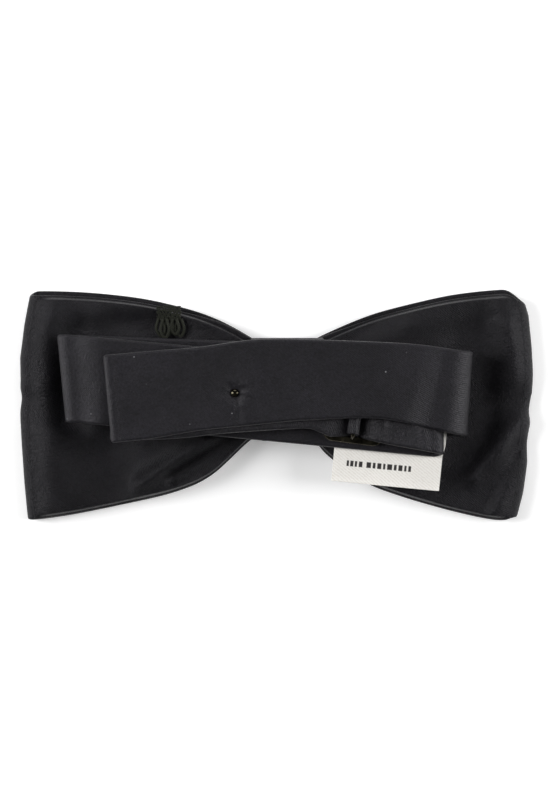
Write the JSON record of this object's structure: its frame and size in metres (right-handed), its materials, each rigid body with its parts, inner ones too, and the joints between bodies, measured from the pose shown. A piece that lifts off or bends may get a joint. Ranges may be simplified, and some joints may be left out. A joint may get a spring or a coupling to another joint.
{
  "type": "bow tie",
  "caption": "Ready-tied satin bow tie on an adjustable neckband, with a sliding buckle, a stud closure and a care label, lying on its front.",
  "frame": {"origin": "on the surface the tie lies on, under the middle of its box", "axes": "+X along the bow towards its right end as seen from the back, +Y towards its top edge, +Z out of its back"},
  "size_m": [0.12, 0.0526, 0.0198],
  "materials": {
    "satin": "near-black satin with a slight navy tint, semi-matt",
    "lining": "pale stiff interlining",
    "thread": "black sewing thread",
    "loose_thread": "black thread with an olive cast",
    "gunmetal": "polished gunmetal plate with a warm cast",
    "label": null
  },
  "bodies": {
    "bow": {"wing_front_left": "satin", "wing_front_right": "satin", "wing_back_left": "satin", "wing_back_right": "satin", "wing_lining_left": "lining", "wing_lining_right": "lining", "knot_wrap": "satin", "knot_padding": "lining", "knot_binding_thread": "thread", "knot_closing_stitches": "thread", "thread_tuft": "loose_thread"},
    "neckband": {"band_lower_runs": "satin", "band_outer_fold": "satin", "care_label_tab": "label", "care_label_stitches": "thread"},
    "top_run": {"band_top_run": "satin", "closure_stud": "gunmetal", "stud_washer": "gunmetal"},
    "slider_run": {"band_slider_run": "satin", "band_inner_fold": "satin", "band_eyelet": "gunmetal"},
    "slider": {"slider_frame": "gunmetal", "slider_centre_bar": "gunmetal", "slider_keeper_loop": "satin"},
    "label": {"care_label_flap": "label"}
  },
  "joints": [
    {"name": "band_slide", "type": "slide", "parent": "bow", "child": "neckband", "axis": [0.9992, -0.0393, 0], "range_m": [-0.025, 0.03]},
    {"name": "top_run_fold", "type": "hinge", "parent": "neckband", "child": "top_run", "pos_m": [0.0399, 0, 0.01328], "axis": [0, 1, 0], "range_deg": [0, 170], "deforming": ["band_outer_fold"]},
    {"name": "slider_run_fold", "type": "hinge", "parent": "neckband", "child": "slider_run", "pos_m": [0.0369, 0, 0.0138], "axis": [0, 1, 0], "range_deg": [0, 85], "deforming": ["band_inner_fold"]},
    {"name": "slider_slide", "type": "slide", "parent": "slider_run", "child": "slider", "axis": [0.9917, -0.1288, 0], "range_m": [-0.007, 0.006], "deforming": ["band_slider_run"]},
    {"name": "label_fold", "type": "hinge", "parent": "neckband", "child": "label", "pos_m": [0.0262, -0.01035, 0.0111], "axis": [0.9955, -0.095, 0], "range_deg": [-70, 0]}
  ],
  "couplings": [
    {"joint": "slider_run_fold", "follows": "top_run_fold", "ratio": 0.5}
  ]
}
